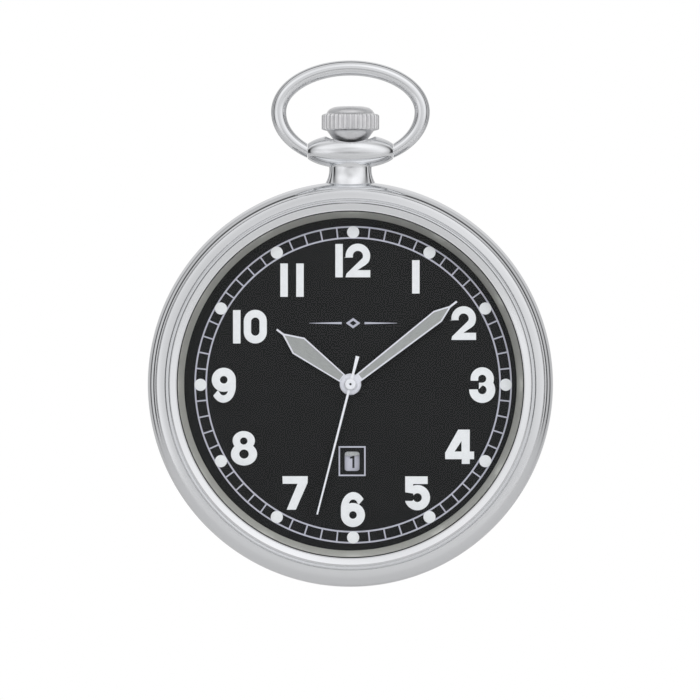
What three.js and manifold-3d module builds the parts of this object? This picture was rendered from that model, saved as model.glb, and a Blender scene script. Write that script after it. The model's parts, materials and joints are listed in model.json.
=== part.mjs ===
// Open face pocket watch with a quartz calibre: case, hinged bow, crown and stem, dial and hands,
// and the movement with its motor, train, motion work, calendar and setting work.
// Millimetres. The watch stands upright: +Z runs up through the bow, the dial faces -Y, and Y is the
// arbor axis of every wheel. The exported frame has its origin inside the top of the bow, where a
// chain's swivel hangs; everything below is drawn about the centre of the dial.
import * as THREE from "three";
import { mergeVertices } from "three/addons/utils/BufferGeometryUtils.js";
import Module from "manifold-3d";

// Case. Depths are Y values: negative towards the wearer's eye, positive towards the back.
const CASE_RADIUS = 24;
const CASE_FRONT = -4.15;
const CASE_BACK = 3.35;
const CASE_BORE = 20.5;
const CASE_SHELF = -3.25;
const BEZEL_INNER = 20.65;
const BEZEL_OUTER = 21.9;
const CRYSTAL_RADIUS = 20.35;
const CRYSTAL_UNDER = -3.3;
const CRYSTAL_TOP = -5.25;
const BACK_REBATE = 21.6;
const BACK_REBATE_FLOOR = 1.7;
const BACK_FLAT_RADIUS = 17.5;
const BACK_OUTSIDE = 5.2;
const RUNNING_GAP = 0.03;
const RING_SIDES = 48;

// Pendant, bow and crown, all on the case's centre plane.
const PIVOT_HEIGHT = 27.58;
const BOW_CENTRE_HEIGHT = 32.27;
const BOW_HALF_WIDTH = 8.53;
const BOW_RISE = 5.2;
const BOW_DROP = 5.78;
const BOW_WIRE_RADIUS = 0.9;
const BOW_END_X = 5.1;
const BOW_PIN_RADIUS = 0.35;
const SLEEVE_RADIUS = 0.93;
const SLEEVE_TOP = 30.2;
const STEM_RADIUS = 0.45;
const CROWN_RADIUS = 3.41;
const CROWN_TEETH = 32;
const CROWN_BAND = [30.25, 31.9];
const CHAIN_SEAT_HEIGHT = BOW_CENTRE_HEIGHT + BOW_RISE - BOW_WIRE_RADIUS;

// Dial and hands.
const DIAL_RADIUS = 20.2;
const DIAL_FRONT = -1.45;
const DIAL_BACK = -1.05;
const DATE_WINDOW = { width: 1.7, height: 2.23, below: 9.05, corner: 0.3 };
const HOUR_ANGLE = -53.4;
const MINUTE_ANGLE = 52.1;
const SECONDS_ANGLE = 194.35;

// Movement: an 11 1/2 ligne calibre.
const MOVEMENT_RADIUS = 12.8;
const PLATE_FRONT = -0.55;
const PLATE_BACK = 0.95;
const POCKET_FLOOR = 0.35;
const BRIDGE_FRONT = 2.25;
const BRIDGE_BACK = 2.55;
const ARBOR = 0.12;
const PIVOT_HOLE = 0.15;
const POST = 0.25;

// Gear data: [teeth of the wheel, teeth of its pinion, module] for each mesh.
const MESH = {
  centreToThird: [64, 8, 0.1],
  thirdToSeconds: [60, 8, 3.6 / 34],
  secondsToIntermediate: [40, 8, 0.146],
  intermediateToRotor: [48, 8, 0.09],
  minuteToCannon: [36, 12, 0.125],
  hourToMinute: [40, 10, 0.12],
  dateToHour: [40, 20, 0.14],
  minuteToSetting: [36, 18, 0.125],
};
const centreDistance = ([wheel, pinion, module]) => ((wheel + pinion) * module) / 2;
const DATE_TEETH = 31;

// Arbor places in the X-Z plane.
const CENTRE = new THREE.Vector2(0, 0);
const away = (from, degrees, distance) =>
  new THREE.Vector2(
    from.x + distance * Math.cos(THREE.MathUtils.degToRad(degrees)),
    from.y + distance * Math.sin(THREE.MathUtils.degToRad(degrees)),
  );
const THIRD = away(CENTRE, -10, centreDistance(MESH.centreToThird));
const INTERMEDIATE = away(CENTRE, -110, centreDistance(MESH.secondsToIntermediate));
const ROTOR = away(INTERMEDIATE, -100, centreDistance(MESH.intermediateToRotor));
const MINUTE = away(CENTRE, 58, centreDistance(MESH.minuteToCannon));
const SETTING = away(MINUTE, 111, centreDistance(MESH.minuteToSetting));
const DATE_DRIVER = away(CENTRE, -45, centreDistance(MESH.dateToHour));
const BATTERY = { at: new THREE.Vector2(-8.16, 3.8), radius: 3.4, front: 0, back: 2.55 };
const CLAMP_POST = new THREE.Vector2(-4.4, 7.2);
const BRIDGE_FEET = [
  new THREE.Vector2(8.2, -1.2),
  new THREE.Vector2(-4.6, -1.4),
  new THREE.Vector2(0.9, 5),
];
const COIL = { height: -8.9, depth: 1.55, radius: 1, half: 3.6, coreHalf: 4.85 };
const DIAL_FEET = [away(CENTRE, 10, 11.75), away(CENTRE, 190, 11.75)];

const wasm = await Module();
wasm.setup();

const watch = new THREE.Group();
watch.position.z = -CHAIN_SEAT_HEIGHT;

const finish = (color, roughness, metalness) => ({ color, roughness, metalness });
const POLISHED = finish(0xd9dbde, 0.08, 1);
const SATIN = finish(0xbfc1c4, 0.3, 1);
const HAND = finish(0xb9babd, 0.3, 0.9);
const REHAUT = finish(0x6f716c, 0.35, 1);
const BRASS = finish(0xc9a24d, 0.3, 1);
const STEEL = finish(0xa9abad, 0.25, 1);
const BLACK = finish(0x232527, 0.5, 0);
const RUBBER = finish(0x1b1b1c, 0.8, 0);
const GLASS = finish(0xf4f8fa, 0.02, 0);
const PLASTIC = finish(0x5b5e60, 0.6, 0);
const WHITE = finish(0xe7e9ec, 0.55, 0);
const COPPER = finish(0xb5622f, 0.35, 1);
const BOARD = finish(0x1f5b3a, 0.5, 0);

// ---- solids ----

// A closed geometry as a solid that can be joined and cut.
function solid(geometry) {
  const bare = geometry.clone();
  bare.deleteAttribute("normal");
  bare.deleteAttribute("uv");
  const merged = mergeVertices(bare, 1e-4);
  const vertProperties = merged.attributes.position.array;
  const triVerts = new Uint32Array(merged.index.array);
  return new wasm.Manifold(new wasm.Mesh({ numProp: 3, vertProperties, triVerts }));
}

// Adds a solid to the watch as a named part.
function part(name, body, look) {
  const mesh = body.getMesh();
  const geometry = new THREE.BufferGeometry();
  geometry.setAttribute("position", new THREE.BufferAttribute(mesh.vertProperties, 3));
  geometry.setIndex(new THREE.BufferAttribute(mesh.triVerts, 1));
  geometry.computeVertexNormals();
  const made = new THREE.Mesh(geometry, new THREE.MeshStandardMaterial(look));
  made.name = name;
  watch.add(made);
}

// Turns a [radius, along] outline about the Y axis, or about X or Z when asked.
function turned(outline, sides = RING_SIDES, axis = "Y") {
  const points = outline.map(([radius, along]) => new THREE.Vector2(radius, along));
  if (THREE.ShapeUtils.area(points) < 0) points.reverse();
  if (points.every((point) => point.x > 0)) points.push(points[0].clone());
  const geometry = new THREE.LatheGeometry(points, sides);
  if (axis === "Z") geometry.rotateX(Math.PI / 2);
  if (axis === "X") geometry.rotateZ(-Math.PI / 2);
  return solid(geometry);
}

const ring = (inner, outer, from, to, sides, axis) =>
  turned([[inner, from], [outer, from], [outer, to], [inner, to]], sides, axis);

const disc = (radius, from, to, sides = 24, axis = "Y") =>
  turned([[0, from], [radius, from], [radius, to], [0, to]], sides, axis);

// A disc on an arbor of the movement.
const discAt = (at, radius, from, to, sides = 24) =>
  disc(radius, from, to, sides).translate([at.x, 0, at.y]);

// Extrudes an outline drawn in the X-Z plane between two depths.
function plate(shape, front, back) {
  const settings = { depth: back - front, bevelEnabled: false, curveSegments: 5 };
  const geometry = new THREE.ExtrudeGeometry(shape, settings);
  geometry.rotateX(Math.PI / 2);
  geometry.translate(0, back, 0);
  return solid(geometry);
}

function block(from, to) {
  const size = to.map((value, i) => value - from[i]);
  const geometry = new THREE.BoxGeometry(...size);
  geometry.translate(...from.map((value, i) => value + size[i] / 2));
  return solid(geometry);
}

const joined = (...bodies) => bodies.reduce((sum, body) => sum.add(body));
const cut = (body, ...tools) => tools.reduce((left, tool) => left.subtract(tool), body);

const shapeOf = (outline) => new THREE.Shape(outline.map(([x, z]) => new THREE.Vector2(x, z)));

const circlePoints = (radius, sides) =>
  Array.from({ length: sides }, (_, i) => away(CENTRE, (360 * i) / sides, radius));

// A bar with round ends between two points of the X-Z plane.
function bar(from, to, width, front, back) {
  const along = to.clone().sub(from);
  const shape = new THREE.Shape();
  shape.absarc(0, 0, width / 2, Math.PI / 2, Math.PI * 1.5);
  shape.absarc(along.length(), 0, width / 2, -Math.PI / 2, Math.PI / 2);
  const turn = -THREE.MathUtils.radToDeg(along.angle());
  return plate(shape, front, back).rotate([0, turn, 0]).translate([from.x, 0, from.y]);
}

// ---- gears ----

// The outline of a gear, with the middle of one tooth facing the given direction in degrees.
function toothed(teeth, module, facing) {
  const pitchRadius = (teeth * module) / 2;
  const root = pitchRadius - 1.15 * module;
  const tip = pitchRadius + 0.8 * module;
  const step = 360 / teeth;
  const pointed = [[tip, 0], [root, 0.5]];
  const flat = [[root, -0.28], [tip, -0.07], [tip, 0.07], [root, 0.28]];
  const flank = teeth > 30 ? pointed : flat;
  const points = [];
  for (let i = 0; i < teeth; i++) {
    flank.forEach(([radius, share]) => points.push(away(CENTRE, facing + (i + share) * step, radius)));
  }
  return new THREE.Shape(points);
}

const gear = (teeth, module, facing, front, back) =>
  plate(toothed(teeth, module, facing), front, back);

const bearing = (from, to) => THREE.MathUtils.radToDeg(to.clone().sub(from).angle());

// The driven side of a mesh shows a gap where the other gear shows a tooth.
const gapFacing = (from, to, teeth) => bearing(from, to) + 180 / teeth;

const onArbor = (at, ...bodies) => joined(...bodies).translate([at.x, 0, at.y]);

// ---- case ----

// The case's outer side from front to back, with an allowance for the pendant's saddle.
const caseSide = (allowance) =>
  [
    [21.95, CASE_FRONT],
    [22.9, CASE_FRONT + 0.17],
    [23.05, -3.75],
    [23.45, -3.2],
    [23.8, -2.3],
    [CASE_RADIUS, -1.2],
    [CASE_RADIUS, 1.2],
    [23.8, 2.2],
    [23.35, 3],
    [23.15, CASE_BACK],
  ].map(([radius, depth]) => [radius + allowance, depth]);

const stemBore = (radius, from, to, sides = 20) => disc(radius, from, to, sides, "Z");

function caseMiddle() {
  const outline = [
    [CASE_BORE, CASE_SHELF],
    [21.95, CASE_SHELF],
    ...caseSide(0),
    [BACK_REBATE, CASE_BACK],
    [BACK_REBATE, BACK_REBATE_FLOOR],
    [CASE_BORE, BACK_REBATE_FLOOR],
  ];
  return cut(turned(outline), stemBore(SLEEVE_RADIUS + RUNNING_GAP, 19, 26));
}

// The neck rises out of the case into a cross bulb that carries the bow's pins and cups the crown.
function pendant() {
  const neck = [
    [0, 22.6], [3.34, 22.6], [3.34, 23.4], [2.95, 24], [2.75, 24.6], [2.57, 25.4], [2.6, 26.6],
    [0, 26.6],
  ];
  const bulb = [[0, -5.04], [0.91, -5.04], [1.38, -4.1], [1.75, -3], [1.98, -1.5], [2.08, 0]];
  const mirrored = bulb.slice(0, -1).reverse().map(([radius, x]) => [radius, -x]);
  const cup = [[0, 28.1], [1.85, 28.1], [2.45, 28.7], [3.05, 29.4], [3.5, 30.6], [0, 30.6]];
  const body = joined(
    turned(neck, 28, "Z"),
    turned([...bulb, ...mirrored], 24, "X").translate([0, 0, PIVOT_HEIGHT + 0.02]),
  );
  const saddle = turned([[0, CASE_FRONT], ...caseSide(RUNNING_GAP), [0, CASE_BACK]]);
  const sleeveBore = stemBore(SLEEVE_RADIUS + RUNNING_GAP, 22, 29);
  const pinHoles = pivotPins(BOW_PIN_RADIUS + RUNNING_GAP, 3.6, 5.4);
  return cut(body, saddle, turned(cup, 28, "Z"), sleeveBore, ...pinHoles);
}

// The same pin at both ends of the bow's pivot line.
const pivotPins = (radius, from, to) =>
  [disc(radius, from, to, 16, "X"), disc(radius, -to, -from, 16, "X")]
    .map((pin) => pin.translate([0, 0, PIVOT_HEIGHT]));

class BowLine extends THREE.Curve {
  getPoint(share) {
    const end = Math.acos(BOW_END_X / BOW_HALF_WIDTH);
    const angle = -end + share * (Math.PI + 2 * end);
    const rise = Math.sin(angle) > 0 ? BOW_RISE : BOW_DROP;
    const [across, up] = [BOW_HALF_WIDTH * Math.cos(angle), rise * Math.sin(angle)];
    return new THREE.Vector3(across, 0, BOW_CENTRE_HEIGHT + up);
  }
}

function bow() {
  const section = new THREE.Shape(circlePoints(BOW_WIRE_RADIUS, 8));
  const wire = solid(new THREE.ExtrudeGeometry(section, { steps: 36, extrudePath: new BowLine() }));
  const between = block([-BOW_END_X, -2, 25], [BOW_END_X, 2, 30]);
  return joined(cut(wire, between), ...pivotPins(BOW_PIN_RADIUS, 3.7, 5.6));
}

function crown() {
  const [low, high] = CROWN_BAND;
  const body = turned(
    [
      [0, 28.65], [1.75, 28.65], [2.96, low], [3.08, low + 0.1], [3.08, high - 0.1],
      [2.67, high + 0.1], [2.3, 32.4], [1.6, 32.72], [0, 32.94],
    ],
    CROWN_TEETH,
    "Z",
  );
  const flutes = [];
  const step = 360 / CROWN_TEETH;
  for (let i = 0; i < CROWN_TEETH; i++) {
    flutes.push(away(CENTRE, (i - 0.2) * step, CROWN_RADIUS));
    flutes.push(away(CENTRE, (i + 0.2) * step, CROWN_RADIUS));
    flutes.push(away(CENTRE, (i + 0.5) * step, CROWN_RADIUS - 0.28));
  }
  const settings = { depth: high - low, bevelEnabled: false };
  const knurl = new THREE.ExtrudeGeometry(new THREE.Shape(flutes), settings);
  knurl.translate(0, 0, low);
  const sleeveHollow = stemBore(1.36, 28, 30.4);
  const stemHole = stemBore(STEM_RADIUS + RUNNING_GAP, 30, 31.6);
  return cut(joined(body, solid(knurl)), sleeveHollow, stemHole);
}

// The stem: thread end in the crown, a groove for the setting lever and a square for the pinion.
function stem() {
  const rod = [[0, 8.9], [STEM_RADIUS, 8.9], [STEM_RADIUS, 9.7], [0.28, 9.7], [0.28, 10],
    [STEM_RADIUS, 10], [STEM_RADIUS, 31.5], [0, 31.5]];
  return joined(turned(rod, 20, "Z"), block([-0.18, -0.18, 7.05], [0.18, 0.18, 9.2]));
}

part("case_middle", caseMiddle(), POLISHED);
part("pendant", pendant(), POLISHED);
part("pendant_sleeve", ring(0.55, SLEEVE_RADIUS, 20.8, SLEEVE_TOP, 20, "Z"), STEEL);
part("bow", bow(), POLISHED);
part("crown", crown(), SATIN);
part("crown_gasket", ring(SLEEVE_RADIUS + RUNNING_GAP, 1.33, 28.75, 29.1, 20, "Z"), RUBBER);
part("stem", stem(), STEEL);

part("bezel", turned([
  [BEZEL_INNER, CASE_SHELF - 0.03], [BEZEL_INNER, -4.55], [20.85, -4.75], [21.2, -4.7], [21.35, -4.5],
  [21.62, -4.47], [21.76, -4.5], [BEZEL_OUTER, -4.35], [BEZEL_OUTER, CASE_SHELF - 0.03],
]), POLISHED);

const dome = [0, 8, 14.5, 20.2].map((radius) => [radius, CRYSTAL_TOP + 0.65 * (radius / 20.2) ** 2]);
part("crystal", turned([
  ...dome, [CRYSTAL_RADIUS, -4.5], [CRYSTAL_RADIUS, CRYSTAL_UNDER], [0, CRYSTAL_UNDER],
]), GLASS);
part("crystal_gasket", ring(CRYSTAL_RADIUS + 0.03, BEZEL_INNER - 0.03, -4.45, -3.35), RUBBER);
part("rehaut_ring", turned([[19.7, -1.48], [20.3, -3.22], [20.45, -3.22], [20.45, -1.48]]), REHAUT);

part("caseback", turned([
  [0, BACK_OUTSIDE], [BACK_FLAT_RADIUS, BACK_OUTSIDE], [19.5, 5.08], [21.2, 4.75], [22.5, 4.2],
  [23, 3.65], [23, CASE_BACK + 0.05], [21.55, CASE_BACK + 0.05], [21.55, 2.06], [20.9, 2.06],
  [20.9, 3.3], [19.3, 4], [17, 4.25], [0, 4.25],
]), POLISHED);
part("caseback_gasket", ring(20.9, 21.5, 1.73, 2.03), RUBBER);

// ---- dial and hands ----

function dial() {
  const face = new THREE.Shape(circlePoints(DIAL_RADIUS, RING_SIDES));
  const { width, height, below, corner } = DATE_WINDOW;
  const [right, top] = [width / 2 - corner, height / 2 - corner];
  const window = new THREE.Path();
  const corners = [[right, top], [-right, top], [-right, -top], [right, -top]];
  corners.forEach(([x, z], quarter) => {
    const from = (quarter * Math.PI) / 2;
    window.absarc(x, z - below, corner, from, from + Math.PI / 2);
  });
  face.holes.push(window, new THREE.Path(circlePoints(0.7, 24)));
  const feet = DIAL_FEET.map((at) => discAt(at, 0.35, DIAL_BACK - 0.1, 0.4, 10));
  return joined(plate(face, DIAL_FRONT, DIAL_BACK), ...feet);
}

// A hand's blade drawn upright as half an outline, joined to its hub and turned to the hour shown.
function hand(half, hub, bore, front, back, degrees) {
  const outline = [...half, ...half.slice().reverse().map(([x, z]) => [-x, z])];
  const blade = plate(shapeOf(outline), front, back);
  const whole = joined(blade, disc(hub, front, back, 28));
  return cut(whole, disc(bore, front - 1, back + 1, 14)).rotate([0, degrees, 0]);
}

function secondsHand() {
  const [front, back] = [-2.75, -2.63];
  const boss = turned([[0, -2.98], [0.6, -2.98], [0.73, -2.86], [0.73, -2.58], [0, -2.58]], 24);
  const outline = [
    [0.22, -3.42], [0.13, -0.5], [0.1, 15.88], [-0.1, 15.88], [-0.13, -0.5], [-0.22, -3.42],
  ];
  const needle = plate(shapeOf(outline), front, back);
  const bore = disc(ARBOR + 0.02, -2.8, -2.5, 12);
  return cut(joined(boss, needle), bore).rotate([0, SECONDS_ANGLE, 0]);
}

part("dial", dial(), BLACK);
part("hour_hand", hand([[0.54, 0.9], [1.18, 7.65], [0.12, 9.9], [0.12, 10.87]],
  1.27, 0.67, -1.95, -1.8, HOUR_ANGLE), HAND);
part("minute_hand", hand([[0.5, 0.9], [0.8, 13.1], [0.12, 14.9], [0.12, 15.94]],
  1.15, 0.38, -2.35, -2.2, MINUTE_ANGLE), HAND);
part("seconds_hand", secondsHand(), HAND);

// ---- movement: plates ----

part("movement_ring", cut(
  turned([[MOVEMENT_RADIUS + 0.05, -1], [20.42, -1], [20.42, 3.4], [19.4, 3.4], [19.4, PLATE_FRONT],
    [14, PLATE_FRONT], [14, 2.5], [MOVEMENT_RADIUS + 0.05, 2.5]]),
  stemBore(0.65, 12, 22, 16),
), PLASTIC);

const coverPosts = [20, 150, 250].map((degrees) => away(CENTRE, degrees, 6.9));

function mainPlate() {
  const base = turned([[0, PLATE_FRONT], [10.75, PLATE_FRONT], [10.75, -1], [MOVEMENT_RADIUS, -1],
    [MOVEMENT_RADIUS, PLATE_BACK], [0, PLATE_BACK]]);
  const pockets = [
    [CENTRE, 2.8],
    [MINUTE, 2.6],
    [SETTING, 1.4],
    [DATE_DRIVER, 3.15],
  ].map(([at, radius]) => discAt(at, radius, PLATE_FRONT - 0.2, POCKET_FLOOR, 24));
  const holes = [
    ...[THIRD, INTERMEDIATE, ROTOR].map((at) => discAt(at, PIVOT_HOLE, 0.5, 1.2, 8)),
    ...BRIDGE_FEET.map((at) => discAt(at, 0.33, 0.55, 1.2, 8)),
    discAt(CLAMP_POST, 0.33, 0.55, 1.2, 8),
    ...DIAL_FEET.map((at) => discAt(at, 0.42, -1.2, 0.5, 10)),
    discAt(CENTRE, 0.4, -1, 1.2, 16),
    discAt(BATTERY.at, BATTERY.radius + 0.05, BATTERY.front - 0.05, 1.2, 28),
  ];
  const slots = [
    block([-COIL.coreHalf, 0.45, COIL.height - 1.2], [COIL.coreHalf, 1.2, COIL.height + 1.2]),
    block([-0.75, PLATE_FRONT - 0.2, 6.95], [0.75, 0.72, 9.1]),
    block([-0.5, PLATE_FRONT - 0.2, 9], [0.5, 0.5, 10.74]),
    block([-0.25, 0.3, 7.5], [0.25, 1.2, 11.2]),
    stemBore(0.5, 10.5, 13.5, 20),
  ];
  const posts = [
    [MINUTE, POST, -0.5],
    [SETTING, POST, 0],
    [DATE_DRIVER, POST, -0.83],
  ].map(([at, radius, top]) => discAt(at, radius, top, POCKET_FLOOR + 0.2, 12));
  const supports = coverPosts.map((at) => discAt(at, 0.4, -0.84, PLATE_FRONT + 0.2, 10));
  return joined(cut(base, ...pockets, ...holes, ...slots), ...posts, ...supports);
}

function trainBridge() {
  const arms = [
    bar(CENTRE, THIRD, 2.4, BRIDGE_FRONT, BRIDGE_BACK),
    bar(THIRD, BRIDGE_FEET[0], 2.2, BRIDGE_FRONT, BRIDGE_BACK),
    bar(CENTRE, BRIDGE_FEET[1], 2.2, BRIDGE_FRONT, BRIDGE_BACK),
    bar(CENTRE, BRIDGE_FEET[2], 2.2, BRIDGE_FRONT, BRIDGE_BACK),
    bar(CENTRE, INTERMEDIATE, 2.6, BRIDGE_FRONT, BRIDGE_BACK),
    bar(INTERMEDIATE, ROTOR, 2.2, BRIDGE_FRONT, BRIDGE_BACK),
  ];
  const feet = BRIDGE_FEET.map((at) => discAt(at, 0.8, PLATE_BACK + 0.02, BRIDGE_FRONT + 0.1, 14));
  const pivots = [CENTRE, THIRD, INTERMEDIATE, ROTOR].map((at) => discAt(at, PIVOT_HOLE, 2, 3, 8));
  const bores = BRIDGE_FEET.map((at) => discAt(at, 0.34, 0, 3, 10));
  return cut(joined(...arms, ...feet), ...pivots, ...bores);
}

const screw = (at, seat) =>
  cut(
    joined(discAt(at, 0.6, seat, seat + 0.28, 16), discAt(at, 0.3, 0.6, seat + 0.1, 8)),
    block([-0.7, seat + 0.16, -0.09], [0.7, seat + 0.5, 0.09]).translate([at.x, 0, at.y]),
  );

part("main_plate", mainPlate(), BRASS);
part("train_bridge", trainBridge(), STEEL);
BRIDGE_FEET.forEach((at, i) => part(`bridge_screw_${i + 1}`, screw(at, BRIDGE_BACK + 0.02), STEEL));

// ---- movement: motor and power ----

const [intermediateTeeth, rotorLeaves, intermediateModule] = MESH.intermediateToRotor;
part("rotor", onArbor(
  ROTOR,
  disc(ARBOR, 0.6, 2.45, 8),
  disc(0.75, 1.05, 1.65, 24),
  gear(rotorLeaves, intermediateModule, gapFacing(ROTOR, INTERMEDIATE, rotorLeaves), 1.9, 2.2),
), STEEL);

function stator() {
  const outline = [
    [-4.9, -9.6], [-4.9, -6.4], [-3.3, -4.3], [0.1, -4.3], [1.7, -5.2], [4.9, -6.6], [4.9, -9.6],
    [3.9, -9.6], [3.9, -7.6], [0.4, -7.2], [-3.7, -7.2], [-3.9, -7.6], [-3.9, -9.6],
  ];
  return cut(plate(shapeOf(outline), 1, 1.35), discAt(ROTOR, 0.95, 0.5, 2, 24));
}
part("stator", stator(), STEEL);

// Enamelled wire between two cheeks on a flat iron core that bridges the stator's feet.
function coil() {
  const { height, depth, radius, half, coreHalf } = COIL;
  const winding = joined(
    disc(radius - 0.12, -half, half, 24, "X"),
    disc(radius, -half, -half + 0.3, 24, "X"),
    disc(radius, half - 0.3, half, 24, "X"),
  ).translate([0, depth, height]);
  const core = block(
    [-coreHalf, depth - 0.17, height - 0.4],
    [coreHalf, depth + 0.17, height + 0.4],
  );
  return joined(winding, core);
}
part("coil", coil(), COPPER);

function boardOutline(inner, outer, from, to) {
  const [low, high] = [from, to].map(THREE.MathUtils.degToRad);
  const shape = new THREE.Shape();
  shape.absarc(0, 0, outer, low, high, false);
  shape.absarc(0, 0, inner, high, low, true);
  return shape;
}
part("circuit_board", plate(boardOutline(7, 12.2, 12, 72), 1, 1.2), BOARD);
part("integrated_circuit", discAt(away(CENTRE, 24, 9.6), 0.9, 1.23, 1.7), RUBBER);
const CAN_PLACE = away(CENTRE, 50, 10);
part("quartz_can", disc(0.7, -2.6, 2.6, 20, "X").rotate([0, 40, 0])
  .translate([CAN_PLACE.x, 1.95, CAN_PLACE.y]), STEEL);
part("battery", discAt(BATTERY.at, BATTERY.radius, BATTERY.front, BATTERY.back, 28), STEEL);
part("battery_clamp", cut(
  joined(
    bar(CLAMP_POST, BATTERY.at, 1.6, BATTERY.back + 0.03, BATTERY.back + 0.18),
    discAt(CLAMP_POST, 0.7, PLATE_BACK + 0.02, BATTERY.back + 0.1, 20),
  ),
  discAt(CLAMP_POST, 0.34, 0, 3, 16),
), STEEL);
part("clamp_screw", screw(CLAMP_POST, BATTERY.back + 0.2), STEEL);

// ---- movement: train, from the motor to the hands ----

const [centreTeeth, thirdLeaves, centreModule] = MESH.centreToThird;
const [thirdTeeth, secondsLeaves, thirdModule] = MESH.thirdToSeconds;
const [secondsTeeth, intermediateLeaves, secondsModule] = MESH.secondsToIntermediate;

const intermediateGap = gapFacing(INTERMEDIATE, CENTRE, intermediateLeaves);
part("intermediate_wheel", onArbor(
  INTERMEDIATE,
  disc(ARBOR, 0.6, 2.45, 8),
  gear(intermediateLeaves, secondsModule, intermediateGap, 1.7, 1.94),
  gear(intermediateTeeth, intermediateModule, bearing(INTERMEDIATE, ROTOR), 1.92, 2.1),
), BRASS);
part("seconds_wheel", joined(
  disc(ARBOR, -2.78, 2.45, 8),
  gear(secondsTeeth, secondsModule, bearing(CENTRE, INTERMEDIATE), 1.74, 1.88),
  gear(secondsLeaves, thirdModule, gapFacing(CENTRE, THIRD, secondsLeaves), 1.42, 1.76),
), BRASS);
part("third_wheel", onArbor(
  THIRD,
  disc(ARBOR, 0.6, 2.45, 8),
  gear(thirdTeeth, thirdModule, bearing(THIRD, CENTRE), 1.47, 1.6),
  gear(thirdLeaves, centreModule, gapFacing(THIRD, CENTRE, thirdLeaves), 0.98, 1.48),
), BRASS);
part("centre_wheel", cut(
  gear(centreTeeth, centreModule, bearing(CENTRE, THIRD), 1.05, 1.2),
  disc(0.37, 0, 2, 20),
), BRASS);

// ---- movement: motion work and calendar, under the dial ----

const [minuteTeeth, cannonLeaves, minuteModule] = MESH.minuteToCannon;
const [hourTeeth, minuteLeaves, hourModule] = MESH.hourToMinute;
const [dateTeeth, hourLeaves, dateModule] = MESH.dateToHour;

part("cannon_pinion", cut(
  joined(
    disc(0.35, -2.38, 1.28, 14),
    gear(cannonLeaves, minuteModule, gapFacing(CENTRE, MINUTE, cannonLeaves), 0.02, 0.3),
  ),
  disc(0.16, -3, 2, 10),
), STEEL);
part("minute_wheel", cut(
  onArbor(
    MINUTE,
    gear(minuteTeeth, minuteModule, bearing(MINUTE, CENTRE), 0.05, 0.2),
    gear(minuteLeaves, hourModule, gapFacing(MINUTE, CENTRE, minuteLeaves), -0.48, 0.1),
  ),
  discAt(MINUTE, POST + RUNNING_GAP, -1, 1, 12),
), BRASS);
part("hour_wheel", cut(
  joined(
    disc(0.65, -1.98, -0.06, 16),
    gear(hourTeeth, hourModule, bearing(CENTRE, MINUTE), -0.45, -0.3),
    gear(hourLeaves, dateModule, gapFacing(CENTRE, DATE_DRIVER, hourLeaves), -0.31, -0.08),
  ),
  disc(0.4, -3, 2, 12),
), BRASS);
part("date_driving_wheel", cut(
  onArbor(
    DATE_DRIVER,
    gear(dateTeeth, dateModule, bearing(DATE_DRIVER, CENTRE), -0.25, -0.1),
    disc(0.5, -0.8, -0.1, 20),
    bar(CENTRE, away(CENTRE, 30, 3.2), 0.5, -0.8, -0.6),
  ),
  discAt(DATE_DRIVER, POST + RUNNING_GAP, -1, 1, 12),
), BRASS);

function dateRing() {
  const body = new THREE.Shape(circlePoints(10.6, 48));
  const step = 360 / DATE_TEETH;
  const inner = [];
  for (let i = 0; i < DATE_TEETH; i++) {
    [[8.1, -0.25], [7.75, 0], [8.1, 0.25]].forEach(([radius, share]) =>
      inner.push(away(CENTRE, (i + share) * step, radius)));
  }
  body.holes.push(new THREE.Path(inner));
  return plate(body, -0.8, -0.6);
}
part("date_ring", dateRing(), WHITE);
part("date_ring_cover", ring(1, 8.5, -1, -0.86, 36), STEEL);

// ---- movement: setting work ----

part("setting_wheel", cut(
  onArbor(
    SETTING,
    gear(MESH.minuteToSetting[1], minuteModule, settingFacing(), 0.04, 0.22),
  ),
  discAt(SETTING, POST + RUNNING_GAP, -1, 1, 12),
), STEEL);

// The setting wheel meets the minute wheel away from the line of centres on which that wheel's
// first tooth lies, so its gap is placed against whichever tooth stands there.
function settingFacing() {
  const step = 360 / minuteTeeth;
  const line = bearing(MINUTE, SETTING);
  const past = (line - bearing(MINUTE, CENTRE)) / step;
  const offset = past - Math.round(past);
  const settingTeeth = MESH.minuteToSetting[1];
  return bearing(SETTING, MINUTE) + 180 / settingTeeth + (offset * 360) / settingTeeth;
}

const pinionLength = { depth: 1.2, bevelEnabled: false };
const slidingPinion = new THREE.ExtrudeGeometry(toothed(10, 0.1, 0), pinionLength);
slidingPinion.translate(0, 0, 7.6);
part("sliding_pinion", cut(
  solid(slidingPinion),
  ring(0.42, 1, 8.2, 8.44, 20, "Z"),
  stemBore(0.3, 7, 9, 16),
), STEEL);
part("setting_lever", joined(
  bar(new THREE.Vector2(0, 9.85), new THREE.Vector2(-2.6, 8.9), 0.9, 0.98, 1.13),
  discAt(new THREE.Vector2(0, 9.85), 0.12, 0.32, 1.05, 12),
), STEEL);
part("yoke", joined(
  bar(new THREE.Vector2(0, 8.32), new THREE.Vector2(1.9, 7.7), 0.7, 0.98, 1.13),
  discAt(new THREE.Vector2(0, 8.32), 0.09, 0.46, 1.05, 12),
), STEEL);

const root = new THREE.Group();
root.add(watch);

export default root;
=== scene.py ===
import json
import math

import bmesh
import bpy
from mathutils import Matrix, Vector


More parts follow.
